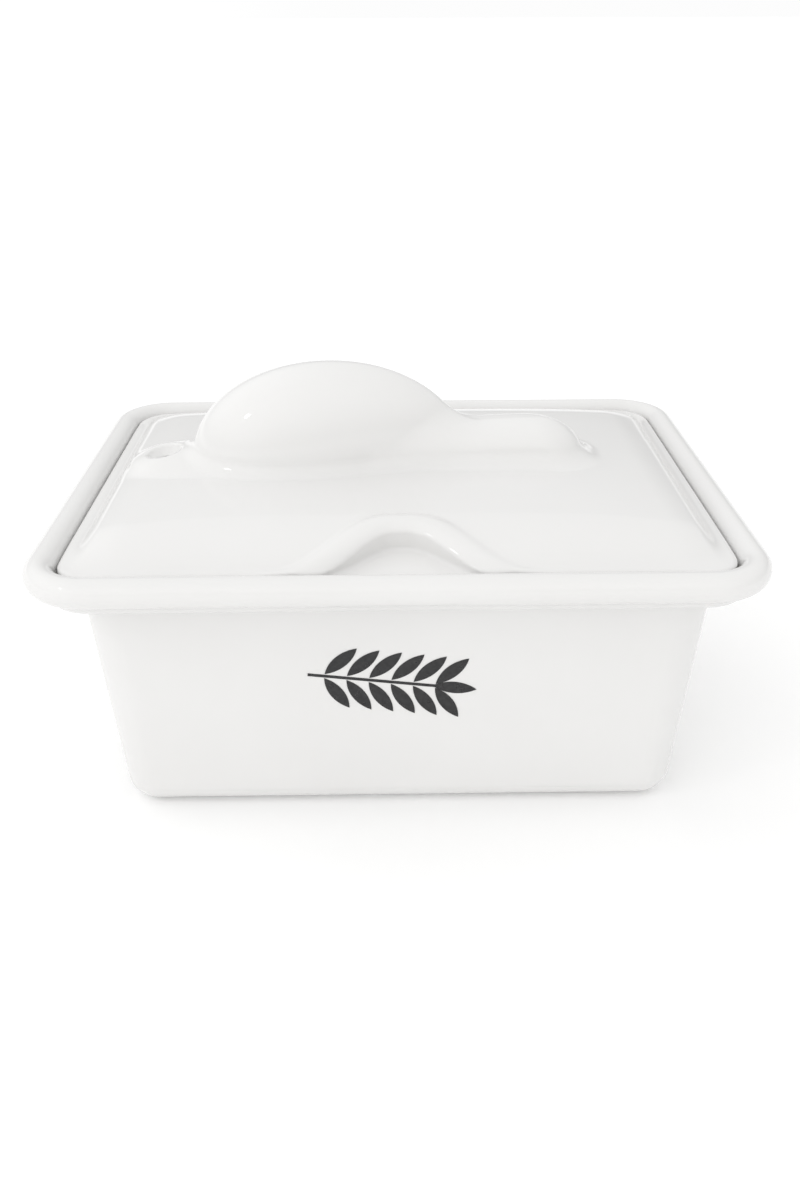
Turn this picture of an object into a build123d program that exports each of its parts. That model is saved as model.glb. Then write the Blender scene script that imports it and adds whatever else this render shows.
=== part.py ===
"""A lidded rectangular butter crock in glazed porcelain.

Three pieces: the crock, which is a drafted tub with a rolled rim and a gallery (the ledge that the
lid sits on), the lid, which is one casting with its grip, thumb hood and steam vent, and the sprig
ornament fired on to the front wall.

Millimetres. +Z is up, -Y is the front, and the origin is at the middle of the foot.
"""

from build123d import *

import os
from math import atan2, cos, degrees, pi, radians, sin, tan

os.makedirs("parts", exist_ok=True)

# ---------------------------------------------------------------- crock: driving dimensions
RIM_LENGTH = 160.0  # over the roll, along X
RIM_WIDTH = 120.0  # over the roll, along Y
CROCK_HEIGHT = 68.0  # foot to the top of the roll
RIM_CORNER = 15.0  # plan radius of the roll's outer edge
ROLL_RADIUS = 3.3
RIM_OVERHANG = 9.8  # roll's outer edge to the wall's outer face, just under the shelf
WALL = 4.0
FLOOR = 5.0
DRAFT = 4.5  # degrees, each wall leaning in towards the foot
WALL_CORNER = 9.6  # plan radius of the wall's outer corners, under the shelf
HEEL_RADIUS = 7.0  # wall to foot
FOOT_RING = 4.0  # width of the ring that the crock stands on
FOOT_RECESS = 0.8  # depth of the recess inside that ring
FOOT_CORNER = 4.0  # plan radius of the recess
SHELF_THICKNESS = 3.8
SHELF_INSET = 4.4  # roll's outer edge to the shelf's, below the roll
SHELF_EDGE_RADIUS = 2.2
SHELF_ROOT_RADIUS = 3.0  # shelf's underside to the wall
LIP_RADIUS = 1.2  # the shelf's inner edge
GALLERY_FILLET = 1.0  # shelf to gallery wall
CAVITY_CORNER = 6.5  # plan radius of the inside corners at the floor
CAVITY_HEEL = 6.0  # inside wall to floor

# ---------------------------------------------------------------- lid: driving dimensions
LID_GAP = 0.6  # all round, between the lid's edge and the gallery wall
LID_SEAT = 62.2  # height of the gallery's shelf
FLANGE_THICKNESS = 4.0
FLANGE_EDGE_RADIUS = 1.2  # the flange's top edge
FLANGE_FOOT_RADIUS = 1.4  # its bottom edge, clear of the gallery's fillet
FLANGE_SIDE = 1.8  # flat flange beside the crown, at the two ends
FLANGE_FRONT = 4.2  # the same along the front and the back
CROWN_TOP = 72.6  # height of the crown in the middle
CROWN_BEND_X = 880.0  # the crown's radius along its length
CROWN_BEND_Y = 560.0  # the same across it
CROWN_CORNER = 6.0
SHOULDER_RISE = 4.5  # height in which the crown's shoulders lean in by the next two
SHOULDER_RUN_SIDE = 4.2
SHOULDER_RUN_FRONT = 9.0
BLOCK_REACH = 2.0  # the crown's uncut block, in shoulder rises
LID_SHELL = 4.0  # thickness of the casting over its hollow underside
HOLLOW_MARGIN_SIDE = 8.0  # solid seat left round the hollow, at the two ends
HOLLOW_MARGIN_FRONT = 11.0

# The grip: a teardrop hump that runs on into a straight bar.
GRIP_Y = 2.0  # its axis, a little behind the middle
GRIP_BASE = 71.6  # level that the hump's half ellipse and the bar's height start from
GRIP_FOOT = 70.1  # level where both forms end, inside the crown's shell
HUMP_X = -17.0
HUMP_HALF_LENGTH = 35.0
HUMP_HALF_WIDTH = 14.2
HUMP_RISE = 24.2
HUMP_TAPER = 0.17  # half width lost per millimetre towards the bar
HUMP_STATIONS = 12
BAR_END_X = 50.0
BAR_RISE = 9.2
BAR_HALF_BASE = 7.6
BAR_HALF_TOP = 5.8
BAR_EDGE_RADIUS = 3.2
BAR_END_RADIUS = 4.2
BAR_LEAN_LIMIT = 20.0  # degrees off upright that the bar's end edges may lean

# The hood: a bell-shaped ridge round a thumb scoop in the middle of the lid's front edge.
HOOD_HALF_WIDTH = 25.0
HOOD_REACH = 17.3  # front edge of the lid to the back of the hood
HOOD_SETBACK = 1.6  # the hood's feet stand this far behind the lid's front edge
HOOD_BAND = 4.8  # width of the ridge at its middle
HOOD_FRONT_LEVEL = 67.0  # the ridge's height at the lid's front edge, and at the back of the hood
HOOD_TOP = 73.4
HOOD_BACK_RADIUS = 1.0
HOOD_BROW_RADIUS = 2.0  # the edge over the scoop
BELL_WAIST = 0.55  # share of a bell's half width where its side turns, and of its reach there
HOOD_SHOULDER = 0.68
SCOOP_SHOULDER = 0.62
BELL_FLARE = 0.5  # slope of the bell's foot
SCOOP_HALF_WIDTH = 20.0
SCOOP_FRONT_LEVEL = 64.6
SCOOP_BACK_LEVEL = 67.0
SCOOP_OVERRUN = 2.0  # how far the scoop's cut runs out past the lid's front edge

# The steam vent: a small hole in a dish, on a low pad at the end of the grip.
VENT_X = -58.0
VENT_RADIUS = 1.5
VENT_DISH_RADIUS = 3.7
VENT_DISH_ANGLE = 82.0
VENT_PAD_LENGTH = 22.0
VENT_PAD_WIDTH = 15.0
VENT_PAD_LEVEL = 73.4
VENT_PAD_RADIUS = 1.3

# ---------------------------------------------------------------- ornament: driving dimensions
MARK_X = -4.3  # middle of the stem
MARK_HEIGHT = 37.5  # the same, above the foot
STEM_LENGTH = 32.5
MARK_TILT = -7.0  # degrees
MARK_THICKNESS = 0.12
LEAF_PAIRS = 6
LEAF_PITCH = 5.0
LEAF_LENGTH = 10.0
LEAF_WIDTH = 3.1
LEAF_ANGLE = 50.0
LEAF_CLEARANCE = 0.6  # the leaves' feet stand this far off the stem's middle line
STEM_WIDTH = 0.7

# ---------------------------------------------------------------- worked out
OVERLAP = 1.0  # how far forms that join or cut run past the level where they meet
NEAR = 0.1  # a face within this of a level is at that level
LID_INSET = 2 * ROLL_RADIUS + LID_GAP
LID_LENGTH = RIM_LENGTH - 2 * LID_INSET
LID_WIDTH = RIM_WIDTH - 2 * LID_INSET
LID_CORNER = RIM_CORNER - LID_INSET
LID_FRONT = -LID_WIDTH / 2
FLANGE_TOP = LID_SEAT + FLANGE_THICKNESS
SHELF_UNDERSIDE = LID_SEAT - SHELF_THICKNESS
WALL_LEAN = SHELF_UNDERSIDE * tan(radians(DRAFT))
FOOT_LENGTH = RIM_LENGTH - 2 * RIM_OVERHANG - 2 * WALL_LEAN
FOOT_WIDTH = RIM_WIDTH - 2 * RIM_OVERHANG - 2 * WALL_LEAN
FOOT_INSET = HEEL_RADIUS + FOOT_RING
CAVITY_LEAN = (LID_SEAT - FLOOR) * tan(radians(DRAFT))
CAVITY_LENGTH = RIM_LENGTH - 2 * RIM_OVERHANG - 2 * WALL - 2 * CAVITY_LEAN
CAVITY_WIDTH = RIM_WIDTH - 2 * RIM_OVERHANG - 2 * WALL - 2 * CAVITY_LEAN
SCOOP_REACH = HOOD_REACH - HOOD_BAND + SCOOP_OVERRUN


def rim_outline(inset):
    """A rounded rectangle parallel to the rim's outer edge, in the current sketch."""
    return RectangleRounded(RIM_LENGTH - 2 * inset, RIM_WIDTH - 2 * inset, RIM_CORNER - inset)


def level_face(part, level):
    """The part's one flat face at that height."""
    flats = part.faces().filter_by(Axis.Z)
    return flats.filter_by_position(Axis.Z, level - NEAR, level + NEAR).face()


def bell_outline(half_width, reach, shoulder):
    """A bell-shaped face in the current sketch, with its mouth on the X axis."""
    with BuildLine() as outline:
        bell = Spline(
            (-half_width, 0),
            (-half_width * BELL_WAIST, reach * shoulder),
            (0, reach),
            (half_width * BELL_WAIST, reach * shoulder),
            (half_width, 0),
            tangents=[(1, BELL_FLARE), (1, -BELL_FLARE)],
        )
        Line(bell @ 1, bell @ 0)
    make_face(outline.edges())


def block_under_crown(foot_length, foot_width, foot_level, drop):
    """A rounded block with leaning sides, cut off by the crown surface lowered by drop."""
    top_length = foot_length - 2 * BLOCK_REACH * SHOULDER_RUN_SIDE
    top_width = foot_width - 2 * BLOCK_REACH * SHOULDER_RUN_FRONT
    with BuildPart() as block:
        with BuildSketch(Plane.XY.offset(foot_level)):
            RectangleRounded(foot_length, foot_width, CROWN_CORNER)
        with BuildSketch(Plane.XY.offset(foot_level + BLOCK_REACH * SHOULDER_RISE)):
            RectangleRounded(top_length, top_width, CROWN_CORNER)
        loft()
        with BuildSketch(Plane.YZ.offset(-RIM_LENGTH / 2)):
            with Locations((0, CROWN_TOP - drop - CROWN_BEND_Y)):
                Circle(CROWN_BEND_Y)
        extrude(amount=RIM_LENGTH, mode=Mode.INTERSECT)
        with BuildSketch(Plane.XZ.offset(-RIM_WIDTH / 2)):
            with Locations((0, CROWN_TOP - drop - CROWN_BEND_X)):
                Circle(CROWN_BEND_X)
        extrude(amount=RIM_WIDTH, mode=Mode.INTERSECT)
    return block


def hump_sections(shrink):
    """Cross-sections of the teardrop hump along X, with its half sizes less by shrink."""
    sections = []
    for station in range(1, HUMP_STATIONS):
        turn = pi * station / HUMP_STATIONS
        x = HUMP_X - (HUMP_HALF_LENGTH - shrink) * cos(turn)
        half_width = HUMP_HALF_WIDTH - HUMP_TAPER * (x - HUMP_X) - shrink
        with BuildSketch(Plane.YZ.offset(x)) as section:
            with Locations((GRIP_Y, GRIP_BASE)):
                Ellipse(half_width * sin(turn), (HUMP_RISE - shrink) * sin(turn))
        sections.append(section.sketch.face())
    return sections


# ---------------------------------------------------------------- crock
with BuildSketch(Plane.XY.offset(CROCK_HEIGHT - ROLL_RADIUS)) as roll_line:
    rim_outline(ROLL_RADIUS)
roll_path = roll_line.sketch.face().outer_wire()

with BuildPart() as crock:
    # the drafted tub, rounded into its foot
    with BuildSketch():
        RectangleRounded(FOOT_LENGTH, FOOT_WIDTH, WALL_CORNER - WALL_LEAN / 2)
    extrude(amount=SHELF_UNDERSIDE + OVERLAP, taper=-DRAFT)
    fillet(level_face(crock, 0).edges(), HEEL_RADIUS)
    # the shelf, and the roll round its outer edge
    with BuildSketch(Plane.XY.offset(SHELF_UNDERSIDE)):
        rim_outline(SHELF_INSET)
    extrude(amount=CROCK_HEIGHT - ROLL_RADIUS - SHELF_UNDERSIDE)
    with BuildSketch(Plane(origin=roll_path @ 0, z_dir=roll_path % 0)):
        Circle(ROLL_RADIUS)
    sweep(path=roll_path)
    # the gallery that holds the lid, and the cavity under it
    with BuildSketch(Plane.XY.offset(LID_SEAT)):
        rim_outline(2 * ROLL_RADIUS)
    extrude(amount=CROCK_HEIGHT, mode=Mode.SUBTRACT)
    with BuildSketch(Plane.XY.offset(FLOOR)):
        RectangleRounded(CAVITY_LENGTH, CAVITY_WIDTH, CAVITY_CORNER)
    extrude(amount=LID_SEAT - FLOOR + OVERLAP, taper=-DRAFT, mode=Mode.SUBTRACT)
    fillet(level_face(crock, FLOOR).edges(), CAVITY_HEEL)
    fillet(level_face(crock, LID_SEAT).inner_wires()[0].edges(), LIP_RADIUS)
    fillet(level_face(crock, LID_SEAT).outer_wire().edges(), GALLERY_FILLET)
    fillet(level_face(crock, SHELF_UNDERSIDE).inner_wires()[0].edges(), SHELF_ROOT_RADIUS)
    fillet(level_face(crock, SHELF_UNDERSIDE).outer_wire().edges(), SHELF_EDGE_RADIUS)
    # the recess that leaves a ring to stand on
    with BuildSketch():
        RectangleRounded(FOOT_LENGTH - 2 * FOOT_INSET, FOOT_WIDTH - 2 * FOOT_INSET, FOOT_CORNER)
    extrude(amount=FOOT_RECESS, mode=Mode.SUBTRACT)
crock.part.label = "crock"
export_step(crock.part, "parts/crock.step")

# ---------------------------------------------------------------- lid
crown = block_under_crown(
    LID_LENGTH - 2 * FLANGE_SIDE, LID_WIDTH - 2 * FLANGE_FRONT, FLANGE_TOP - OVERLAP, 0
)
hollow = block_under_crown(
    LID_LENGTH - 2 * HOLLOW_MARGIN_SIDE, LID_WIDTH - 2 * HOLLOW_MARGIN_FRONT, LID_SEAT - OVERLAP, LID_SHELL
)

hump_back = Vertex(HUMP_X - HUMP_HALF_LENGTH, GRIP_Y, GRIP_BASE)
hump_nose = Vertex(HUMP_X + HUMP_HALF_LENGTH, GRIP_Y, GRIP_BASE)
with BuildPart() as hump:
    loft([hump_back, *hump_sections(0), hump_nose])
    split(bisect_by=Plane.XY.offset(GRIP_FOOT), keep=Keep.TOP)
with BuildPart() as hump_hollow:
    loft(hump_sections(LID_SHELL)[1:-1])
    split(bisect_by=Plane.XY.offset(GRIP_FOOT - LID_SHELL), keep=Keep.TOP)

with BuildPart() as bar:
    with BuildSketch(Plane.YZ.offset(HUMP_X)):
        with BuildLine():
            Polyline(
                (GRIP_Y - BAR_HALF_BASE, GRIP_FOOT),
                (GRIP_Y - BAR_HALF_TOP, GRIP_BASE + BAR_RISE),
                (GRIP_Y + BAR_HALF_TOP, GRIP_BASE + BAR_RISE),
                (GRIP_Y + BAR_HALF_BASE, GRIP_FOOT),
                close=True,
            )
        make_face()
    extrude(amount=BAR_END_X - HUMP_X)
    upright = bar.edges().filter_by(Axis.Z, tolerance=BAR_LEAN_LIMIT)
    fillet(upright.sort_by(Axis.X)[-2:], BAR_END_RADIUS)
    fillet(bar.faces().sort_by(Axis.Z)[-1].edges().sort_by(Axis.X)[1:], BAR_EDGE_RADIUS)

scoop_slope = degrees(atan2(SCOOP_BACK_LEVEL - SCOOP_FRONT_LEVEL, HOOD_REACH))
scoop_floor = Plane((0, LID_FRONT - SCOOP_OVERRUN, SCOOP_FRONT_LEVEL)).rotated((scoop_slope, 0, 0))
with BuildPart() as scoop:
    with BuildSketch(scoop_floor):
        bell_outline(SCOOP_HALF_WIDTH, SCOOP_REACH, SCOOP_SHOULDER)
    extrude(amount=2 * (CROWN_TOP - SCOOP_FRONT_LEVEL))

hood_slope = degrees(atan2(HOOD_TOP - HOOD_FRONT_LEVEL, HOOD_REACH))
hood_roof = Plane((0, LID_FRONT, HOOD_FRONT_LEVEL)).rotated((hood_slope, 0, 0))
with BuildPart() as hood:
    with BuildSketch(Plane((0, LID_FRONT + HOOD_SETBACK, FLANGE_TOP - OVERLAP))):
        bell_outline(HOOD_HALF_WIDTH, HOOD_REACH - HOOD_SETBACK, HOOD_SHOULDER)
    extrude(amount=2 * (CROWN_TOP - FLANGE_TOP))
    split(bisect_by=hood_roof, keep=Keep.BOTTOM)
    roof_edges = hood.faces().sort_by(Axis(hood_roof.origin, hood_roof.z_dir))[-1].edges()
    fillet(roof_edges.filter_by(GeomType.BSPLINE), HOOD_BACK_RADIUS)

with BuildPart() as lid:
    with BuildSketch(Plane.XY.offset(LID_SEAT)):
        RectangleRounded(LID_LENGTH, LID_WIDTH, LID_CORNER)
    extrude(amount=FLANGE_THICKNESS)
    fillet(lid.edges().group_by(Axis.Z)[-1], FLANGE_EDGE_RADIUS)
    fillet(lid.edges().group_by(Axis.Z)[0], FLANGE_FOOT_RADIUS)
    add(crown.part)
    # the pad round the vent
    with BuildSketch(Plane.XY.offset(FLANGE_TOP)):
        with Locations((VENT_X, GRIP_Y)):
            SlotOverall(VENT_PAD_LENGTH, VENT_PAD_WIDTH)
    extrude(amount=VENT_PAD_LEVEL - FLANGE_TOP)
    fillet(lid.faces().filter_by(Axis.Z).sort_by(Axis.Z)[-1].edges(), VENT_PAD_RADIUS)
    # the hood, with the scoop cut under its brow
    add(hood.part)
    add(scoop.part, mode=Mode.SUBTRACT)
    brow = lid.faces().filter_by(hood_roof).face().edges().filter_by(GeomType.BSPLINE)
    fillet(brow.sort_by(SortBy.LENGTH)[0], HOOD_BROW_RADIUS)
    # the grip, and the hollow underside that follows it
    add(bar.part)
    add(hump.part)
    add(hollow.part, mode=Mode.SUBTRACT)
    add(hump_hollow.part, mode=Mode.SUBTRACT)
    with Locations((VENT_X, GRIP_Y, VENT_PAD_LEVEL)):
        CounterSinkHole(VENT_RADIUS, VENT_DISH_RADIUS, counter_sink_angle=VENT_DISH_ANGLE)
lid.part.label = "lid"
export_step(lid.part, "parts/lid.step")

# ---------------------------------------------------------------- ornament
wall_normal = Vector(0, -cos(radians(DRAFT)), -sin(radians(DRAFT)))
wall_plane = Plane(
    origin=(MARK_X, -FOOT_WIDTH / 2 - MARK_HEIGHT * tan(radians(DRAFT)), MARK_HEIGHT),
    x_dir=Vector(1, 0, 0).rotate(Axis((0, 0, 0), wall_normal), MARK_TILT),
    z_dir=wall_normal,
)


def leaf(x, y, angle):
    """One almond-shaped leaf in the current sketch, growing from (x, y)."""
    tip = Vector(LEAF_LENGTH, 0).rotate(Axis.Z, angle) + Vector(x, y)
    with BuildLine() as outline:
        SagittaArc((x, y), tip, LEAF_WIDTH / 2)
        SagittaArc(tip, (x, y), LEAF_WIDTH / 2)
    make_face(outline.edges())


with BuildPart() as front_mark:
    with BuildSketch(wall_plane):
        Rectangle(STEM_LENGTH, STEM_WIDTH)
        for pair in range(LEAF_PAIRS):
            along = LEAF_PITCH * (pair - (LEAF_PAIRS - 1) / 2)
            leaf(along, LEAF_CLEARANCE, LEAF_ANGLE)
            leaf(along, -LEAF_CLEARANCE, -LEAF_ANGLE)
        leaf(STEM_LENGTH / 2 - LEAF_LENGTH / 2 + LEAF_CLEARANCE, 0, 0)
    extrude(amount=MARK_THICKNESS)
front_mark.part.label = "front_mark"
export_step(front_mark.part, "parts/front_mark.step")
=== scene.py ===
"""Looks of the porcelain butter crock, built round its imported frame.

The shapes are worked out in millimetres, in the frame's axes, and become metres when a mesh is made.
"""

from math import acos, cos, degrees, radians, sin, tan

import bpy
import numpy as np
from mathutils import Matrix, Vector


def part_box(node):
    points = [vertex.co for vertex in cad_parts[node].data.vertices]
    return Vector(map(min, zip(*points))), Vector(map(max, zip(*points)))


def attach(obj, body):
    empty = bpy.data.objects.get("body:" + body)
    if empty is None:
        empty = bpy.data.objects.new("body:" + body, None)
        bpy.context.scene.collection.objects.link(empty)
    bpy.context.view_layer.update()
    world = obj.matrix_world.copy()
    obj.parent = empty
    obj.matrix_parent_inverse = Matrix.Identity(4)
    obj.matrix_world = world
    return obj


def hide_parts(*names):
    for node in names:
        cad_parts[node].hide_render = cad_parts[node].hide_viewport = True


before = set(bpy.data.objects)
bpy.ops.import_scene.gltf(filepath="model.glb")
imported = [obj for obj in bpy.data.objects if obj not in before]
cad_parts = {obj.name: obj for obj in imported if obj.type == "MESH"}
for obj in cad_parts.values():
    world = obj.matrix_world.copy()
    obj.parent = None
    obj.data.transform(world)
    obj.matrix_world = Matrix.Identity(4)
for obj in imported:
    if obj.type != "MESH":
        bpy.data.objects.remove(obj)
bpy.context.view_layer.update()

MM = 0.001
crock_low, crock_high = (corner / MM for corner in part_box("crock"))
lid_low, lid_high = (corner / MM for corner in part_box("lid"))

# ---------------------------------------------------------------- crock, in millimetres
HALF_LENGTH = crock_high.x
HALF_WIDTH = crock_high.y
HEIGHT = crock_high.z
RIM_CORNER = 15.0
ROLL_RADIUS = 3.3
WALL_INSET = 9.8  # roll's outer edge to the wall's outer face, under the shelf
WALL = 4.0
FLOOR = 5.0
DRAFT = 4.5  # degrees
FOOT_CORNER = 7.3
HEEL_RADIUS = 7.0
FOOT_RING = 4.0
FOOT_RECESS = 0.8
RECESS_CORNER = 4.0
RECESS_EDGE = 0.3  # half the width of the recess's sloping edge
SHELF_LEVEL = lid_low.z
SHELF_THICKNESS = 3.8
SHELF_INSET = 4.4
SHELF_EDGE_RADIUS = 2.2
SHELF_ROOT_RADIUS = 3.0
GALLERY_FILLET = 1.0
LIP_RADIUS = 1.2
CAVITY_CORNER = 6.5
CAVITY_HEEL = 6.0
MIDDLE_INSET = 30.0  # the ring round the flat middle face, inwards from the recess's or cavity heel's edge
FLOOR_RING_INSET = 12.0  # one more ring on the cavity's floor, inwards from the same edge
LEAST_CORNER = 0.4
ROOT_SHIFT = 0.2  # moves the fillet under the shelf inwards, to meet the leaning wall
ROOT_GROWTH = 0.2  # growth of the corner for each millimetre across that fillet
WALL_RINGS = 22
CAVITY_RINGS = 20
BARE_FOOT = 0.05  # faces below this level are bare biscuit where they face down
CORNER_STEPS = 16
LONG_STEPS = 44
SHORT_STEPS = 32

# ---------------------------------------------------------------- lid, in millimetres
LID_HALF_LENGTH = lid_high.x
LID_HALF_WIDTH = lid_high.y
LID_CORNER = 7.8
FLANGE_TOP = SHELF_LEVEL + 4.0
FLANGE_EDGE = 1.2
FLANGE_FOOT = 1.4
CROWN_TOP = 72.6
CROWN_DROP = 2.1  # from the middle to the crown's ends
CROWN_REACH = 67.0
CROWN_BEND = 1000.0  # radius across
SHOULDER_FOOT = 51.4  # where the front and back shoulders meet the flange
SHOULDER_END = 76.0  # the same for its ends, which the coves cut away
SHOULDER_CORNER = 17.0
SHOULDER_SLOPE = 37.0
SHOULDER_ROUND = 6.0
SHOULDER_FILLET = 2.0
COVE_FOOT = 72.6
COVE_RUN = 5.8
COVE_RISE = 5.4
COVE_EDGE = 1.4
COVE_FILLET = 1.1
GRIP_Y = 2.0
HUMP_X = -15.5
HUMP_BASE = 71.5
HUMP_BACK = 35.0
HUMP_FRONT = 33.5
HUMP_HALF_WIDTH = 14.0
HUMP_TAPER = 0.17
BAR_START = -5.0
BAR_START_ROUND = 1.0
BAR_END = 48.0
BAR_TOP = 81.8
BAR_CREST_X = 32.0
BAR_BOW = 300.0
BAR_HALF_TOP = 6.6
BAR_LEAN = 19.0
BAR_ROUND = 5.5
BAR_PLAN_ROUND = 8.0
BAR_END_LEAN = 30.0
NECK_FILLET = 5.0
GRIP_FILLET = 3.2
VENT_X = -58.0
VENT_RADIUS = 1.5
VENT_ROUND = 0.6
DISH_RADIUS = 5.2
DISH_FLOOR = 71.1
DISH_EDGE = 0.7
PAD_X = -46.5
PAD_LEVEL = 70.2
PAD_HALF_LENGTH = 15.5
PAD_HALF_WIDTH = 6.0
PAD_RISE = 2.5
PAD_FILLET = 8.0
HOOD_X = 0.8
HOOD_GROWTH = 1.6  # the hood's outside, outwards from its bell curve
HOOD_FOOT_Y = -57.3
HOOD_REACH = 20.6
HOOD_SPREAD = 16.2
HOOD_POWER = 3.0
HOOD_RISE = 1.1  # above the crown
HOOD_ROUND = 2.4
HOOD_FILLET = 1.6
SCOOP_GROWTH = -1.9
SCOOP_FOOT_Y = -58.3
SCOOP_REACH = 19.6
SCOOP_SPREAD = 15.0
SCOOP_POWER = 2.5
SCOOP_FRONT_LEVEL = 64.6
SCOOP_SLOPE = 0.126
SCOOP_HEEL = 1.1
BROW_ROUND = 2.7
LID_SHELL = 4.0
HOLLOW_HALF_LENGTH = 64.8
HOLLOW_HALF_WIDTH = 41.8
HOLLOW_LEAN_X = 0.93
HOLLOW_LEAN_Y = 2.0
HOLLOW_LEAN_HEIGHT = 6.0
HOLLOW_CORNER = 6.0
HOLLOW_ROUND = 2.5
HOLLOW_LIP = 0.8
SEAT_BISCUIT_AND_SHADE_HEIGHT = 0.9  # faces below this height over the shelf are unglazed where they face down; their warm brown is painted shade for the gap round the lid
SEAT_BISCUIT_AND_SHADE_FACING = -0.2
COARSE_STEP = 0.8
FINE_STEP = 0.45
RELAX_ROUNDS = 5


# ---------------------------------------------------------------- helpers
def make_piece(name, vertices, faces, normals=None):
    """A smooth-shaded mesh object from points in millimetres."""
    mesh = bpy.data.meshes.new(name)
    mesh.from_pydata((np.asarray(vertices) * MM).tolist(), [], faces)
    mesh.validate()
    mesh.shade_smooth()
    if normals is not None:
        mesh.normals_split_custom_set_from_vertices(normals.tolist())
    piece = bpy.data.objects.new(name, mesh)
    bpy.context.scene.collection.objects.link(piece)
    return piece


def arc(centre, radius, start, end, steps):
    """Points (outward, up) along an arc of a cross-section, from angle start to end in degrees."""
    turns = np.radians(np.linspace(start, end, steps + 1))
    return [(centre[0] + radius * cos(t), centre[1] + radius * sin(t)) for t in turns]


# ---------------------------------------------------------------- crock mesh
def ring(half_x, half_y, corner, level):
    """A rounded rectangle of evenly ordered points, counter-clockwise from above."""
    arcs = []
    for quarter, (side_x, side_y) in enumerate(((1, 1), (-1, 1), (-1, -1), (1, -1))):
        turns = np.radians(90.0 * quarter + np.linspace(0, 90, CORNER_STEPS + 1))
        arcs.append(np.column_stack((
            side_x * (half_x - corner) + corner * np.cos(turns),
            side_y * (half_y - corner) + corner * np.sin(turns),
        )))
    points = []
    for quarter, steps in enumerate((LONG_STEPS, SHORT_STEPS, LONG_STEPS, SHORT_STEPS)):
        here, there = arcs[quarter][-1], arcs[(quarter + 1) % 4][0]
        shares = np.linspace(0, 1, steps + 1)[1:-1, None]
        points += [arcs[quarter], here + (there - here) * shares]
    flat = np.vstack(points)
    return np.column_stack((flat, np.full(len(flat), level)))


def crock_rings():
    """The crock's cross-section, as rings from the middle of its underside round to the cavity's floor."""
    lean = tan(radians(DRAFT))
    underside = SHELF_LEVEL - SHELF_THICKNESS
    roll = (-ROLL_RADIUS, HEIGHT - ROLL_RADIUS)
    wall_foot = -WALL_INSET - underside * lean
    cavity_top = -WALL_INSET - WALL
    cavity_foot = cavity_top - (SHELF_LEVEL - FLOOR) * lean
    rings = []

    def add(points, corner):
        for out, up in points:
            rings.append(ring(HALF_LENGTH + out, HALF_WIDTH + out, corner(out, up), up))

    # underside, foot ring, heel and outer wall
    heel = arc((wall_foot - HEEL_RADIUS * (1 - lean), HEEL_RADIUS), HEEL_RADIUS, -90, -DRAFT, 12)
    recess_out = wall_foot - HEEL_RADIUS - FOOT_RING
    recess = [
        (recess_out - MIDDLE_INSET, FOOT_RECESS),
        (recess_out - RECESS_EDGE, FOOT_RECESS),
        (recess_out, FOOT_RECESS / 2),
        (recess_out + RECESS_EDGE, 0),
    ]
    add(recess, lambda out, up: RECESS_CORNER)
    add(heel, lambda out, up: max(FOOT_CORNER + up * lean + out - (wall_foot + up * lean), LEAST_CORNER))
    root_level = underside - SHELF_ROOT_RADIUS
    wall = [(wall_foot + up * lean, up) for up in np.linspace(HEEL_RADIUS + 2, root_level - 1, WALL_RINGS)]
    add(wall, lambda out, up: FOOT_CORNER + up * lean)
    wall_corner = FOOT_CORNER + root_level * lean
    root_x = -WALL_INSET + SHELF_ROOT_RADIUS - ROOT_SHIFT
    root = arc((root_x, root_level), SHELF_ROOT_RADIUS, 180 - DRAFT, 90, 8)
    add(root, lambda out, up: wall_corner + (out + WALL_INSET) * ROOT_GROWTH)
    # shelf edge and the roll
    edge_out = -SHELF_INSET
    edge_middle = (edge_out - SHELF_EDGE_RADIUS, underside + SHELF_EDGE_RADIUS)
    shelf_edge = arc(edge_middle, SHELF_EDGE_RADIUS, -90, 0, 8)
    add(shelf_edge[1:], lambda out, up: RIM_CORNER + out)
    meet = -degrees(acos((edge_out - roll[0]) / ROLL_RADIUS))
    add(arc(roll, ROLL_RADIUS, meet, 180, 40), lambda out, up: RIM_CORNER + out)
    # gallery, lip, cavity
    wall_in = -2 * ROLL_RADIUS
    gallery = arc((wall_in - GALLERY_FILLET, SHELF_LEVEL + GALLERY_FILLET), GALLERY_FILLET, 0, -90, 6)
    add(gallery, lambda out, up: RIM_CORNER + out)
    lip = (cavity_top + LIP_RADIUS, SHELF_LEVEL - LIP_RADIUS)
    cavity_corner = CAVITY_CORNER + (SHELF_LEVEL - FLOOR) * lean
    add(arc(lip, LIP_RADIUS, 90, 180, 8), lambda out, up: cavity_corner)
    top = SHELF_LEVEL - LIP_RADIUS - 1
    levels = np.linspace(top, FLOOR + CAVITY_HEEL + 1, CAVITY_RINGS)
    inner = [(cavity_foot + (up - FLOOR) * lean, up) for up in levels]
    add(inner, lambda out, up: CAVITY_CORNER + (up - FLOOR) * lean)
    heel_in = (cavity_foot - CAVITY_HEEL * (1 - lean), FLOOR + CAVITY_HEEL)
    add(arc(heel_in, CAVITY_HEEL, -DRAFT, -90, 12),
        lambda out, up: max(CAVITY_CORNER + out - (cavity_foot + (up - FLOOR) * lean), LEAST_CORNER))
    middle = [(heel_in[0] - inset, FLOOR) for inset in (FLOOR_RING_INSET, MIDDLE_INSET)]
    add(middle, lambda out, up: LEAST_CORNER)
    return rings


def crock_mesh():
    """Quads between the rings, closed by one flat face in the middle of the underside and of the floor."""
    rings = crock_rings()
    count = len(rings[0])
    faces = [tuple(reversed(range(count)))]
    for lower in range(len(rings) - 1):
        for here in range(count):
            there = (here + 1) % count
            base, above = lower * count, (lower + 1) * count
            faces.append((base + here, base + there, above + there, above + here))
    last = (len(rings) - 1) * count
    faces.append(tuple(range(last, last + count)))
    return np.vstack(rings), faces


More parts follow.
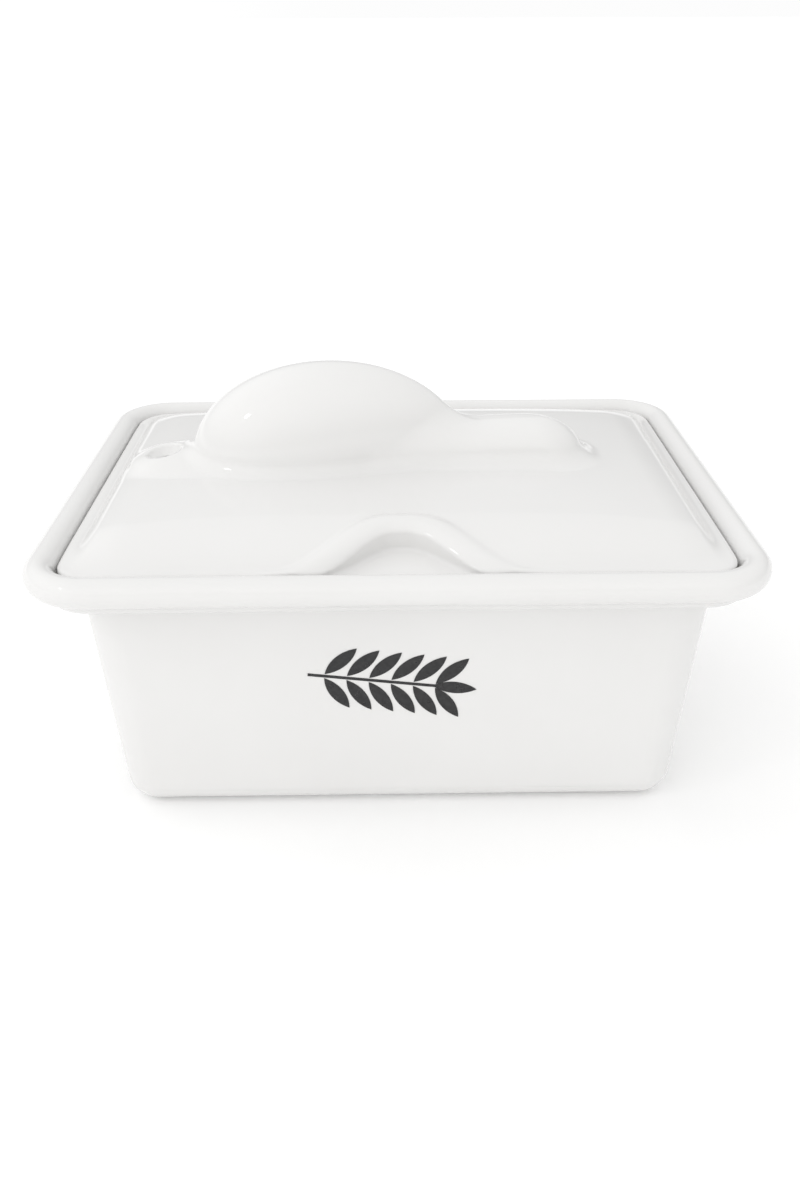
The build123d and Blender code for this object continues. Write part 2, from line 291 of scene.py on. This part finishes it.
# ---------------------------------------------------------------- lid field: negative inside the porcelain
def join(a, b, fillet):
    """Two fields as one, with a concave fillet where they meet."""
    corner = np.hypot(np.maximum(fillet - a, 0), np.maximum(fillet - b, 0))
    return np.maximum(fillet, np.minimum(a, b)) - corner


def keep(a, b, edge):
    """What is inside both fields, with a rounded edge."""
    corner = np.hypot(np.maximum(edge + a, 0), np.maximum(edge + b, 0))
    return np.minimum(-edge, np.maximum(a, b)) + corner


def rounded_plan(x, y, half_x, half_y, corner):
    """Distance to a rounded rectangle in plan."""
    off_x = np.abs(x) - half_x + corner
    off_y = np.abs(y) - half_y + corner
    outside = np.hypot(np.maximum(off_x, 0), np.maximum(off_y, 0))
    return np.minimum(np.maximum(off_x, off_y), 0) + outside - corner


def crown_field(x, y, z):
    """The flange and the crown on it with the vent's pad, from their top surface down."""
    dome = z - CROWN_TOP + CROWN_DROP * (x / CROWN_REACH) ** 4 + y**2 / (2 * CROWN_BEND)
    pad = ellipsoid(x - PAD_X, y - GRIP_Y, z - PAD_LEVEL, PAD_HALF_LENGTH, PAD_HALF_WIDTH, PAD_RISE)
    dome = join(dome, pad, PAD_FILLET)
    slope = radians(SHOULDER_SLOPE)
    foot = rounded_plan(x, y, SHOULDER_END, SHOULDER_FOOT, SHOULDER_CORNER)
    shoulder = (z - FLANGE_TOP) * cos(slope) + foot * sin(slope)
    inward = np.maximum((COVE_FOOT - np.abs(x)) / COVE_RUN, 0)
    under = np.maximum((FLANGE_TOP + COVE_RISE - z) / COVE_RISE, 0)
    cove = (1 - np.hypot(inward, under)) * (COVE_RUN + COVE_RISE) / 2
    flange = z - FLANGE_TOP
    crown = keep(dome, join(flange, shoulder, SHOULDER_FILLET), SHOULDER_ROUND)
    return join(flange, keep(crown, cove, COVE_EDGE), COVE_FILLET)


def ellipsoid(x, y, z, half_x, half_y, half_z):
    """Nearly the distance to an ellipsoid round the origin."""
    near = np.sqrt((x / half_x) ** 2 + (y / half_y) ** 2 + (z / half_z) ** 2)
    steep = np.sqrt((x / half_x**2) ** 2 + (y / half_y**2) ** 2 + (z / half_z**2) ** 2)
    return near * (near - 1) / np.maximum(steep, 1e-6)


def hump_field(x, y, z):
    """The grip's teardrop hump."""
    along = x - HUMP_X
    half_x = np.where(along < 0, HUMP_BACK, HUMP_FRONT)
    half_y = HUMP_HALF_WIDTH - HUMP_TAPER * along
    return ellipsoid(along, y - GRIP_Y, z - HUMP_BASE, half_x, np.maximum(half_y, 4), lid_high.z - HUMP_BASE)


def bar_field(x, y, z):
    """The grip's bar, with leaning sides and rounded edges."""
    top = z - BAR_TOP + (x - BAR_CREST_X) ** 2 / BAR_BOW
    lean = radians(BAR_LEAN)
    side = (np.abs(y - GRIP_Y) - BAR_HALF_TOP) * cos(lean) - (BAR_TOP - z) * sin(lean)
    end_lean = radians(BAR_END_LEAN)
    end = (x - BAR_END) * cos(end_lean) - (HUMP_BASE - z) * sin(end_lean)
    start = BAR_START - x
    return keep(keep(top, keep(side, end, BAR_PLAN_ROUND), BAR_ROUND), start, BAR_START_ROUND)


def bell(x, y, foot, reach, spread, power):
    """Distance, roughly, to a bell-shaped outline in plan that opens to the front."""
    ratio = (np.abs(x) / spread) ** power
    outline = foot + reach / (1 + ratio)
    slope = reach * power * ratio / np.maximum(np.abs(x), 0.5) / (1 + ratio) ** 2
    return (y - outline) / np.hypot(1, slope)


def lid_field(x, y, z):
    """The whole lid."""
    crown = crown_field(x, y, z)
    hump = hump_field(x, y, z)
    roof = crown - HOOD_RISE
    outside = bell(x - HOOD_X, y, HOOD_FOOT_Y, HOOD_REACH, HOOD_SPREAD, HOOD_POWER) - HOOD_GROWTH
    hood = keep(outside, roof, HOOD_ROUND)
    top = join(crown, hood, HOOD_FILLET)
    floor = SCOOP_FRONT_LEVEL + (y + LID_HALF_WIDTH) * SCOOP_SLOPE
    inside = bell(x - HOOD_X, y, SCOOP_FOOT_Y, SCOOP_REACH, SCOOP_SPREAD, SCOOP_POWER) - SCOOP_GROWTH
    scoop = keep(inside, floor - z, SCOOP_HEEL)
    top = keep(top, -scoop, BROW_ROUND)
    grip = join(hump, bar_field(x, y, z), NECK_FILLET)
    top = join(top, grip, GRIP_FILLET)
    from_vent = np.hypot(x - VENT_X, y - GRIP_Y)
    dish = np.sqrt(from_vent**2 + (z - DISH_FLOOR - DISH_RADIUS) ** 2) - DISH_RADIUS
    top = keep(top, -join(from_vent - VENT_RADIUS, dish, VENT_ROUND), DISH_EDGE)
    plan = rounded_plan(x, y, LID_HALF_LENGTH, LID_HALF_WIDTH, LID_CORNER)
    solid = keep(keep(top, plan, FLANGE_EDGE), SHELF_LEVEL - z, FLANGE_FOOT)
    lean = np.minimum(z - SHELF_LEVEL + 1, HOLLOW_LEAN_HEIGHT)
    hollow_x = HOLLOW_HALF_LENGTH - lean * HOLLOW_LEAN_X
    hollow_y = HOLLOW_HALF_WIDTH - lean * HOLLOW_LEAN_Y
    margin = rounded_plan(x, y, hollow_x, hollow_y, HOLLOW_CORNER)
    hollow = keep(join(crown, hump, GRIP_FILLET) + LID_SHELL, margin, HOLLOW_ROUND)
    return keep(solid, -hollow, HOLLOW_LIP)


# ---------------------------------------------------------------- surface of a field
def field_gradient(field, points):
    """The field's values and gradients at points."""
    reach = 0.02
    values = field(*points.T)
    slopes = []
    for axis in range(3):
        shift = np.zeros(3)
        shift[axis] = reach
        slopes.append((field(*(points + shift).T) - field(*(points - shift).T)) / (2 * reach))
    return values, np.column_stack(slopes)


def graded(*stops):
    """Grid levels between stops, each stretch with its own step: start, step, stop, step, stop ..."""
    levels = []
    for start, step, stop in zip(stops[0:-2:2], stops[1:-1:2], stops[2::2]):
        levels.append(np.linspace(start, stop, round((stop - start) / step), endpoint=False))
    return np.append(np.concatenate(levels), stops[-1])


def surface_net(field, axes):
    """Points and quads of the surface where a field is zero, one point to each grid cell it crosses."""
    values = np.empty([len(a) for a in axes], np.float32)
    for i, x in enumerate(axes[0]):
        y, z = np.meshgrid(axes[1], axes[2], indexing="ij")
        values[i] = field(np.full_like(y, x), y, z)
    inside = values < 0
    corners = [(a, b, c) for a in (0, 1) for b in (0, 1) for c in (0, 1)]
    size = np.array(values.shape) - 1
    shifted = [inside[a : a + size[0], b : b + size[1], c : c + size[2]] for a, b, c in corners]
    counts = sum(block.astype(np.int8) for block in shifted)
    cells = np.argwhere((counts > 0) & (counts < 8))
    total = np.zeros((len(cells), 3))
    crossings = np.zeros(len(cells))
    for a in corners:
        for axis in range(3):
            if a[axis]:
                continue
            b = list(a)
            b[axis] = 1
            first = values[tuple((cells + a).T)].astype(float)
            second = values[tuple((cells + b).T)].astype(float)
            crossed = (first < 0) != (second < 0)
            share = np.where(crossed, first / np.where(crossed, first - second, 1), 0)
            spot = np.array(a, float) + share[:, None] * (np.array(b) - np.array(a))
            total += np.where(crossed[:, None], spot, 0)
            crossings += crossed
    spots = cells + total / crossings[:, None]
    points = np.column_stack([np.interp(spots[:, k], np.arange(len(axes[k])), axes[k]) for k in range(3)])
    index = np.full(size, -1)
    index[tuple(cells.T)] = np.arange(len(cells))
    quads = []
    for axis in range(3):
        u, v = (axis + 1) % 3, (axis + 2) % 3
        near = [slice(None)] * 3
        far = [slice(None)] * 3
        near[axis], far[axis] = slice(0, -1), slice(1, None)
        edges = np.argwhere(inside[tuple(near)] != inside[tuple(far)])
        leaves = inside[tuple(edges.T)]
        step_u, step_v = np.eye(3, dtype=int)[u], np.eye(3, dtype=int)[v]
        turns = ((0, 0), (1, 0), (1, 1), (0, 1))
        around = [index[tuple((edges - du * step_u - dv * step_v).T)] for du, dv in turns]
        loop = np.column_stack(around)
        quads.append(np.where(leaves[:, None], loop, loop[:, ::-1]))
    return points, np.vstack(quads)


def relax(points, quads, field, rounds):
    """Evens out the points along the surface, and puts them exactly on it."""
    pairs = np.vstack([quads[:, [k, (k + 1) % 4]] for k in range(4)])
    for _ in range(rounds):
        total = np.zeros_like(points)
        count = np.zeros(len(points))
        for a, b in ((0, 1), (1, 0)):
            for axis in range(3):
                total[:, axis] += np.bincount(pairs[:, a], points[pairs[:, b], axis], len(points))
            count += np.bincount(pairs[:, a], minlength=len(points))
        points = points + 0.5 * (total / count[:, None] - points)
        for _ in range(2):
            values, slopes = field_gradient(field, points)
            points = points - slopes * (values / np.maximum((slopes**2).sum(1), 0.05))[:, None]
    _, slopes = field_gradient(field, points)
    return points, slopes / np.linalg.norm(slopes, axis=1)[:, None]


# ---------------------------------------------------------------- materials
def new_material(name):
    material = bpy.data.materials.new(name)
    material.use_nodes = True
    return material, material.node_tree, material.node_tree.nodes["Principled BSDF"]


def noise(tree, scale, detail):
    """Noise in the object's own metres."""
    place = tree.nodes.new("ShaderNodeTexCoord")
    texture = tree.nodes.new("ShaderNodeTexNoise")
    texture.inputs["Scale"].default_value = scale
    texture.inputs["Detail"].default_value = detail
    tree.links.new(place.outputs["Object"], texture.inputs["Vector"])
    return texture.outputs["Fac"]


def spread(tree, value, low, high):
    """The 0 to 1 value mapped to a range."""
    node = tree.nodes.new("ShaderNodeMapRange")
    node.inputs["From Min"].default_value = 0.3
    node.inputs["From Max"].default_value = 0.7
    node.inputs["To Min"].default_value = low
    node.inputs["To Max"].default_value = high
    tree.links.new(value, node.inputs["Value"])
    return node.outputs["Result"]


def tint(tree, value, low, high):
    """A colour between two, by a 0 to 1 value."""
    node = tree.nodes.new("ShaderNodeValToRGB")
    node.color_ramp.elements[0].position = 0.3
    node.color_ramp.elements[0].color = (*low, 1)
    node.color_ramp.elements[1].position = 0.7
    node.color_ramp.elements[1].color = (*high, 1)
    tree.links.new(value, node.inputs["Fac"])
    return node.outputs["Color"]


def bump(tree, shader, layers):
    """Layers of (height, depth in metres) as one chain of bumps."""
    last = None
    for height, depth in layers:
        node = tree.nodes.new("ShaderNodeBump")
        node.inputs["Distance"].default_value = depth
        tree.links.new(height, node.inputs["Height"])
        if last:
            tree.links.new(last, node.inputs["Normal"])
        last = node.outputs["Normal"]
    tree.links.new(last, shader.inputs["Normal"])


def glaze():
    """Clear glaze over white porcelain: a little uneven, with slow changes of tone."""
    material, tree, shader = new_material("porcelain_glaze")
    colour = tint(tree, noise(tree, 22, 3), (0.768, 0.764, 0.757), (0.788, 0.785, 0.779))
    tree.links.new(colour, shader.inputs["Base Color"])
    tree.links.new(spread(tree, noise(tree, 140, 2), 0.04, 0.09), shader.inputs["Roughness"])
    shader.inputs["IOR"].default_value = 1.5
    bump(tree, shader, [(noise(tree, 45, 1), 0.00008), (noise(tree, 300, 2), 0.000004)])
    return material


def biscuit_with_gap_shade():
    """Bare fired porcelain, dry and faintly grainy, tinted warm brown; on the lid's seat this brown is
    painted shade for the gap round the lid.
    """
    material, tree, shader = new_material("porcelain_biscuit_and_painted_gap_shade")
    # painted shade in part: the warm brown of this unglazed material stands in for the shade in the gap
    # round the lid
    colour = tint(tree, noise(tree, 60, 5), (0.70, 0.62, 0.52), (0.80, 0.75, 0.67))
    tree.links.new(colour, shader.inputs["Base Color"])
    tree.links.new(spread(tree, noise(tree, 300, 4), 0.6, 0.8), shader.inputs["Roughness"])
    bump(tree, shader, [(noise(tree, 2500, 3), 0.00004)])
    return material


def ink():
    """Black printing under the last firing."""
    material, tree, shader = new_material("mark_ink_black")
    colour = tint(tree, noise(tree, 900, 3), (0.006, 0.006, 0.007), (0.02, 0.02, 0.021))
    tree.links.new(colour, shader.inputs["Base Color"])
    tree.links.new(spread(tree, noise(tree, 500, 2), 0.25, 0.4), shader.inputs["Roughness"])
    bump(tree, shader, [(noise(tree, 1500, 2), 0.00001)])
    return material


def backdrop_white():
    material, tree, shader = new_material("backdrop_white")
    colour = tint(tree, noise(tree, 3, 2), (0.925, 0.925, 0.925), (0.93, 0.93, 0.93))
    tree.links.new(colour, shader.inputs["Base Color"])
    shader.inputs["Roughness"].default_value = 0.9
    shader.inputs["Specular IOR Level"].default_value = 0.0
    shader.inputs["Emission Color"].default_value = (1, 1, 1, 1)
    shader.inputs["Emission Strength"].default_value = 0.08
    return material


# ---------------------------------------------------------------- pieces
glaze_white = glaze()
biscuit_and_gap_shade = biscuit_with_gap_shade()

crock = make_piece("crock_porcelain", *crock_mesh())
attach(crock, "crock")
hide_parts("crock")
crock.data.materials.append(glaze_white)
crock.data.materials.append(biscuit_and_gap_shade)
for face in crock.data.polygons:
    if face.center.z < BARE_FOOT * MM and face.normal.z < 0:
        face.material_index = 1

margin = 1.5
cove_zone = COVE_FOOT - COVE_RUN - 2
hood_zone = 32.0
end_x = LID_HALF_LENGTH + margin
end_y = LID_HALF_WIDTH + margin
grid = (
    graded(-end_x, FINE_STEP, -cove_zone, COARSE_STEP, cove_zone, FINE_STEP, end_x),
    graded(-end_y, FINE_STEP, -hood_zone, COARSE_STEP, hood_zone, FINE_STEP, end_y),
    graded(SHELF_LEVEL - margin, FINE_STEP, CROWN_TOP + 2, COARSE_STEP, lid_high.z + margin),
)
net = surface_net(lid_field, grid)
lid_points, lid_normals = relax(*net, lid_field, RELAX_ROUNDS)
lid = make_piece("lid_porcelain", lid_points, net[1].tolist(), lid_normals)
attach(lid, "lid")
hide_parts("lid")
lid.data.materials.append(glaze_white)
lid.data.materials.append(biscuit_and_gap_shade)
# painted shade: the lid's down-facing seat takes the warm brown unglazed material, standing in for the shade
# in the gap round the lid
for face in lid.data.polygons:
    if face.center.z < (SHELF_LEVEL + SEAT_BISCUIT_AND_SHADE_HEIGHT) * MM and face.normal.z < SEAT_BISCUIT_AND_SHADE_FACING:
        face.material_index = 1

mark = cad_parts["front_mark"]
mark.data.materials.clear()
mark.data.materials.append(ink())

# ---------------------------------------------------------------- stage
floor_mesh = bpy.data.meshes.new("floor")
reach = 40.0  # metres
floor_corners = [(-reach, -reach, 0), (reach, -reach, 0), (reach, reach, 0), (-reach, reach, 0)]
floor_mesh.from_pydata(floor_corners, [], [(0, 1, 2, 3)])
floor = bpy.data.objects.new("floor", floor_mesh)
bpy.context.scene.collection.objects.link(floor)
floor.data.materials.append(backdrop_white())


def area_light(name, place, size, power, target=(0, 0, 0.04)):
    """A square soft light that faces a point."""
    data = bpy.data.lights.new(name, "AREA")
    data.shape = "SQUARE"
    data.size = size
    data.energy = power
    light = bpy.data.objects.new(name, data)
    light.location = place
    light.rotation_euler = (Vector(target) - Vector(place)).to_track_quat("-Z", "Y").to_euler()
    bpy.context.scene.collection.objects.link(light)


WINDOW_PLACE = (-0.55, -0.35, 0.62)  # metres
WINDOW_SIZE = 0.06
WINDOW_POWER = 0.16
area_light("window_left", WINDOW_PLACE, WINDOW_SIZE, WINDOW_POWER)

# Soft studio light by direction: an axis, where along it the light starts and is full, and its colour.
LIGHT = (
    ("Z", -2.0, -1.5, (0.34, 0.34, 0.34)),  # everywhere
    ("Z", 0.02, 0.62, (0.64, 0.64, 0.64)),  # overhead
    ("Y", -0.05, -0.90, (0.33, 0.324, 0.312)),  # from behind the camera
    ("X", 0.00, -0.90, (0.42, 0.42, 0.42)),  # from the left
    ("Z", 0.16, 0.02, (0.64, 0.64, 0.64)),  # the pale sweep round the floor
)


def studio():
    """The world's light."""
    world = bpy.data.worlds.new("studio")
    world.use_nodes = True
    tree = world.node_tree
    place = tree.nodes.new("ShaderNodeTexCoord")
    axes = tree.nodes.new("ShaderNodeSeparateXYZ")
    tree.links.new(place.outputs["Generated"], axes.inputs["Vector"])
    total = None
    for axis, start, full, colour in LIGHT:
        share = tree.nodes.new("ShaderNodeMapRange")
        share.interpolation_type = "SMOOTHSTEP"
        share.inputs["From Min"].default_value = start
        share.inputs["From Max"].default_value = full
        tree.links.new(axes.outputs[axis], share.inputs["Value"])
        glow = tree.nodes.new("ShaderNodeVectorMath")
        glow.operation = "SCALE"
        glow.inputs[0].default_value = colour
        tree.links.new(share.outputs["Result"], glow.inputs["Scale"])
        if total is None:
            total = glow.outputs["Vector"]
            continue
        both = tree.nodes.new("ShaderNodeVectorMath")
        tree.links.new(total, both.inputs[0])
        tree.links.new(glow.outputs["Vector"], both.inputs[1])
        total = both.outputs["Vector"]
    tree.links.new(total, tree.nodes["Background"].inputs["Color"])
    return world


bpy.context.scene.world = studio()
bpy.context.scene.view_settings.view_transform = "Standard"

# ---------------------------------------------------------------- camera
CAMERA_PLACE = (-2.755, -253.911, 169.201)  # millimetres
CAMERA_PITCH = 28.424  # degrees down
CAMERA_YAW = 0.83
CAMERA_ROLL = -0.184
SENSOR = 36.0
FOCAL = 32.57

camera_data = bpy.data.cameras.new("camera")
camera_data.sensor_fit = "AUTO"
camera_data.sensor_width = SENSOR
camera_data.lens = FOCAL
camera_data.clip_start = 0.01
camera = bpy.data.objects.new("camera", camera_data)
pitch, yaw, roll = (radians(a) for a in (CAMERA_PITCH, CAMERA_YAW, CAMERA_ROLL))
forward = Vector((sin(yaw) * cos(pitch), cos(yaw) * cos(pitch), -sin(pitch)))
right = forward.cross(Vector((0, 0, 1))).normalized()
up = right.cross(forward)
across = cos(roll) * right + sin(roll) * up
upward = cos(roll) * up - sin(roll) * right
turn = Matrix((across, upward, -forward)).transposed()
camera.matrix_world = Matrix.LocRotScale(Vector(CAMERA_PLACE) * MM, turn.to_quaternion(), None)
bpy.context.scene.collection.objects.link(camera)
bpy.context.scene.camera = camera
